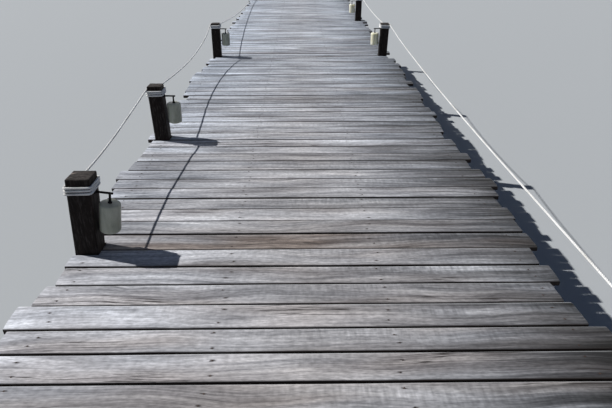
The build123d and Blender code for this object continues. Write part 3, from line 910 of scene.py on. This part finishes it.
def make_deck_wood():
    made, tree, shader = new_material("weathered_deck_hardwood", {"IOR": 1.45, "Specular IOR Level": 0.25})
    deck = read_deck(tree)
    colour = add(tree, "VectorMath", [silver_and_brown(tree, deck), lightness(tree, deck)], operation="SCALE")
    colour = add(tree, "VectorMath", [colour, painted_sky_tint(tree, deck)], operation="MULTIPLY")

    # The far arris is pale, worn and a painted highlight. The near arris is dark with dirt and painted
    # shade, and the cracks, the nails' stains and the knots are dark.
    far_arris_highlight = product(tree, add(tree, "MapRange", [deck.across, 0.89, 0.97, 0.0, 0.5]), deck.bleached)
    arris_start = add(tree, "MapRange", [deck.along, -4.8, -1.0, -0.89, -0.80])
    dark = product(tree, add(tree, "MapRange", [deck.across, arris_start, -0.97]),
                   add(tree, "MapRange", [deck.broad, 0.35, 0.65, 1.0, 0.5]))
    for other in (deck.cracks, nail_stain(tree, deck), deck.core):
        dark = add(tree, "Math", [dark, other], operation="MAXIMUM")
    colour = add(tree, "Mix", [far_arris_highlight, colour, linear("#dfe1e3")], data_type="RGBA")
    colour = add(tree, "Mix", [dark, colour, linear("#2c2827")], data_type="RGBA")
    # Painted shade: the planks' sides, ends and undersides are near black, less weathered and in shade
    sides = add(tree, "ValToRGB", [deck.streak], stops=((0.35, "#181413"), (0.65, "#3b332f")))
    height = weighted(tree, (deck.streak, 0.6), (deck.fibre, 0.4), (deck.rings, 0.08), (deck.saw, 0.10),
                      (deck.cracks, -0.9), (deck.core, -0.4))
    feed(tree, shader, {
        "Base Color": add(tree, "Mix", [facing_up(tree, 0.3, 0.75), sides, colour], data_type="RGBA"),
        "Roughness": add(tree, "MapRange", [deck.streak, 0.3, 0.7, 0.85, 0.6]),
        "Normal": add(tree, "Bump", {"Height": height, "Distance": 0.0022, "Strength": 0.5})})
    return made


def make_timber(name, stops, crack_colour, spread=(0.8, 1.15), roughness=(0.9, 0.7), coarse=1.0):
    """A timber finish from its darkest to its lightest streak."""
    made, tree, shader = new_material(name, {"IOR": 1.45, "Specular IOR Level": 0.12})
    place = add(tree, "Attribute", attribute_name="grain").outputs["Vector"]
    tone = add(tree, "Attribute", attribute_name="tone").outputs["Fac"]
    flame, streak, fibre, cracks, rings, patch = grain_parts(tree, place, coarse)
    value = weighted(tree, (streak, 0.5), (fibre, 0.2), (flame, 0.15), (rings, 0.05), (patch, 0.1))
    wood = add(tree, "ValToRGB", [value], stops=stops)
    shade = add(tree, "MapRange", [tone, 0.0, 1.0, *spread])
    wood = add(tree, "VectorMath", [wood, shade], operation="SCALE")
    colour = add(tree, "Mix", [cracks, wood, linear(crack_colour)], data_type="RGBA")
    height = weighted(tree, (streak, 0.6), (fibre, 0.4), (cracks, -1.0))
    feed(tree, shader, {
        "Base Color": colour,
        "Roughness": add(tree, "MapRange", [streak, 0.3, 0.7, *roughness]),
        "Normal": add(tree, "Bump", {"Height": height, "Distance": 0.0025, "Strength": 0.6})})
    return made, tree, shader, colour


# Posts: hardwood that oil and age have turned nearly black, scuffed grey here and there. The top is
# bare end grain, browner, and pale where it has worn.
def make_post_wood():
    made, tree, shader, wood = make_timber("dark_oiled_post_hardwood", (
        (0.38, "#0b0909"), (0.48, "#161211"), (0.56, "#211b19"), (0.68, "#342b28")),
        "#040303", (0.8, 1.2), (0.8, 0.55))
    here = add(tree, "TexCoord").outputs["Object"]
    pores, worn, scuffs = (
        add(tree, "TexNoise", {"Vector": add(tree, "Mapping", {"Vector": here, "Scale": scale}),
                               "Scale": 1.0, "Detail": detail, "Roughness": roughness})
        for scale, detail, roughness in (
            ((30, 190, 60), 4.0, 0.65), ((9, 22, 9), 3.0, 0.6), ((95, 95, 21), 5.0, 0.7)))
    bare = add(tree, "ValToRGB", [pores], stops=((0.36, "#0c0a0a"), (0.5, "#272322"), (0.64, "#4a4442")))
    pale = add(tree, "MapRange", [worn, 0.57, 0.70])
    bare = add(tree, "Mix", [pale, bare, linear("#857a74")], data_type="RGBA")
    scuffed = add(tree, "MapRange", [scuffs, 0.50, 0.70, 0.0, 0.6])
    scuffed = add(tree, "Mix", [scuffed, wood, linear("#4c4745")], data_type="RGBA")
    colour = add(tree, "Mix", [facing_up(tree, 0.45, 0.85), scuffed, bare], data_type="RGBA")
    feed(tree, shader, {"Base Color": colour})
    return made


def make_metal(name, constants, pattern, stops, roughness=None, brush_depth=None):
    """A metal finish whose colour follows one pattern of wear, as its roughness and bump may too."""
    made, tree, shader = new_material(name, constants)
    wear = add(tree, "TexNoise", {"Vector": add(tree, "TexCoord").outputs["Object"], **pattern})
    feed(tree, shader, {"Base Color": add(tree, "ValToRGB", [wear], stops=stops)})
    if roughness:
        feed(tree, shader, {"Roughness": add(tree, "MapRange", [wear, *roughness])})
    if brush_depth:
        bump = add(tree, "Bump", {"Height": wear, "Distance": brush_depth, "Strength": 0.5})
        feed(tree, shader, {"Normal": bump})
    return made


# Lamp shades: opal polycarbonate, moulded and matt, with salt and dust on it. It lets light through.
# The shades on the left are painted a darker, greyer green as the shadow of their posts, and those on
# the right a lighter cream as painted sunlight.
def make_opal_plastic():
    made, tree, shader = new_material("aged_opal_polycarbonate", {
        "IOR": 1.58, "Specular IOR Level": 0.3, "Subsurface Weight": 0.8,
        "Subsurface Radius": (1.0, 1.0, 0.9), "Subsurface Scale": 0.04})
    here = add(tree, "TexCoord").outputs["Object"]
    dust = add(tree, "TexNoise", {"Vector": add(tree, "Mapping", {"Vector": here, "Scale": (26, 26, 9)}),
                                  "Scale": 1.0, "Detail": 4.0, "Roughness": 0.6})
    # The left shades' colour is painted shade, the right shades' colour painted sunlight
    painted_shadow_colour = add(tree, "ValToRGB", [dust], stops=((0.35, "#a3a593"), (0.5, "#b7b9a8"), (0.7, "#c6c7b8")))
    bleached = add(tree, "ValToRGB", [dust], stops=((0.35, "#dedbbd"), (0.5, "#efebd2"), (0.7, "#f7f4e2")))
    # Which shades get the painted sunlit colour and which the painted shadow
    painted_sunlit = add(tree, "MapRange", [add(tree, "SeparateXYZ", [here]), -0.1, 0.1])
    feed(tree, shader, {
        "Base Color": add(tree, "Mix", [painted_sunlit, painted_shadow_colour, bleached], data_type="RGBA"),
        "Roughness": add(tree, "MapRange", [dust, 0.35, 0.7, 0.38, 0.6])})
    return made


# Rope: laid polyester, white, soiled in places, with the fuzz of broken filaments
def make_rope_fibre():
    made, tree, shader = new_material("laid_polyester_rope", {
        "Sheen Weight": 0.35, "Sheen Roughness": 0.4, "Roughness": 0.82, "Specular IOR Level": 0.2,
        "Subsurface Weight": 0.7, "Subsurface Radius": (1.0, 1.0, 1.0), "Subsurface Scale": 0.006})
    here = add(tree, "TexCoord").outputs["Object"]
    soil = add(tree, "TexNoise", {"Vector": here, "Scale": 7.0, "Detail": 3.0, "Roughness": 0.6})
    yarn = add(tree, "TexNoise", {"Vector": here, "Scale": 420.0, "Detail": 2.0, "Roughness": 0.6})
    feed(tree, shader, {
        "Base Color": add(tree, "ValToRGB", [weighted(tree, (soil, 0.65), (yarn, 0.35))], stops=(
            (0.36, "#d2d0ca"), (0.46, "#e9e8e4"), (0.56, "#f5f5f2"), (0.7, "#fafaf8"))),
        "Normal": add(tree, "Bump", {"Height": yarn, "Distance": 0.0007, "Strength": 0.6})})
    return made


deck_wood = make_deck_wood()
# Stringers, caps and braces: sawn hardwood out of the sun, brown with a grey skin
sawn_wood = make_timber("sawn_hardwood_in_shade", (
    (0.38, "#483f38"), (0.47, "#6b6057"), (0.55, "#877c72"), (0.66, "#a49a90")), "#1b1613")[0]
# Piles: peeled hardwood logs, dark from the wet, with long drying splits
pile_wood = make_timber("peeled_pile_log", (
    (0.38, "#3c342e"), (0.47, "#5b5048"), (0.55, "#766a60"), (0.66, "#93887d")), "#15110f", coarse=0.7)[0]
post_wood = make_post_wood()
# Nail heads: plain steel, rusted dark brown
nail_steel = make_metal(
    "rusted_nail_steel", {"Metallic": 0.35, "Roughness": 0.75}, {"Scale": 260.0, "Detail": 2.0},
    ((0.35, "#1e1a1a"), (0.6, "#3c2c26"), (0.75, "#59402f")))
# Bolts: hot-dip galvanised steel, dulled by salt, with rust in patches
bolt_steel = make_metal(
    "galvanised_bolt_steel", {"Metallic": 0.8}, {"Scale": 90.0, "Detail": 4.0, "Roughness": 0.6},
    ((0.35, "#8b8f90"), (0.52, "#777876"), (0.6, "#6b4a35"), (0.75, "#4c2f20")), (0.35, 0.65, 0.42, 0.85))
# Lamp arms: mild steel with brushed-on black paint, thin in places, with specks of rust
painted_iron = make_metal(
    "black_painted_iron", {"Metallic": 0.0, "Specular IOR Level": 0.1},
    {"Scale": 150.0, "Detail": 4.0, "Roughness": 0.6},
    ((0.4, "#09090a"), (0.6, "#131314"), (0.68, "#33201a")), (0.35, 0.7, 0.5, 0.85), brush_depth=0.0004)
opal_plastic = make_opal_plastic()
rope_fibre = make_rope_fibre()

for rope in ropes:
    rope.data.materials.append(rope_fibre)
for n in range(1, 5):
    make_deck(n)
make_sawn_timbers()
make_piles()
make_posts()
make_bolts()
make_lamps()

# Studio: a pale floor, one sun from the left, and a soft sky that is brightest low down
sun_data = bpy.data.lights.new("sun", "SUN")
sun_data.energy = 4.08
sun_data.angle = math.radians(0.6)
sun_data.color = (1.0, 0.985, 0.96)
sun = bpy.data.objects.new("sun", sun_data)
sunlight = Vector((0.976, -0.32, -1.0))
sun.rotation_euler = sunlight.to_track_quat("-Z", "Y").to_euler()
scene.collection.objects.link(sun)

floor_mesh = bpy.data.meshes.new("floor")
bm = bmesh.new()
bmesh.ops.create_grid(bm, x_segments=1, y_segments=1, size=80.0)
bm.to_mesh(floor_mesh)
bm.free()
floor = bpy.data.objects.new("floor", floor_mesh)
floor.location = (0.0, 0.0, -0.001)     # just clear of the piles' feet
scene.collection.objects.link(floor)
matt_paint = {"Roughness": 0.9, "Specular IOR Level": 0.2}
floor_paint, floor_tree, floor_shader = new_material("studio_floor", matt_paint)
floor_mesh.materials.append(floor_paint)


def is_shown(tree):
    """1 for the rays that show a surface, straight, in gloss or through glass, and 0 for its light."""
    rays = add(tree, "LightPath").outputs
    shown = add(tree, "Math", [rays["Is Camera Ray"], rays["Is Glossy Ray"]], operation="MAXIMUM")
    return add(tree, "Math", [shown, rays["Is Transmission Ray"]], operation="MAXIMUM")


feed(floor_tree, floor_shader, {"Base Color": add(
    floor_tree, "Mix", [is_shown(floor_tree), linear("#a4a8aa"), linear("#b2b6b9")], data_type="RGBA")})

world = bpy.data.worlds.new("sky")
scene.world = world
world.use_nodes = True
sky_tree = world.node_tree
height = add(sky_tree, "SeparateXYZ", [add(sky_tree, "TexCoord").outputs["Generated"]]).outputs["Z"]
low_light = 0.235
high_light = 0.072
glow = add(sky_tree, "MapRange", [height, 0.0, 0.6, low_light, high_light])
sky = sky_tree.nodes["Background"]
feed(sky_tree, sky, [linear("#a9c8ff"), glow])
white = add(sky_tree, "Background", [linear("#ffffff"), 1.0])
either = add(sky_tree, "MixShader", [is_shown(sky_tree), sky, white])
feed(sky_tree, sky_tree.nodes["World Output"], [either])

scene.view_settings.view_transform = "Standard"
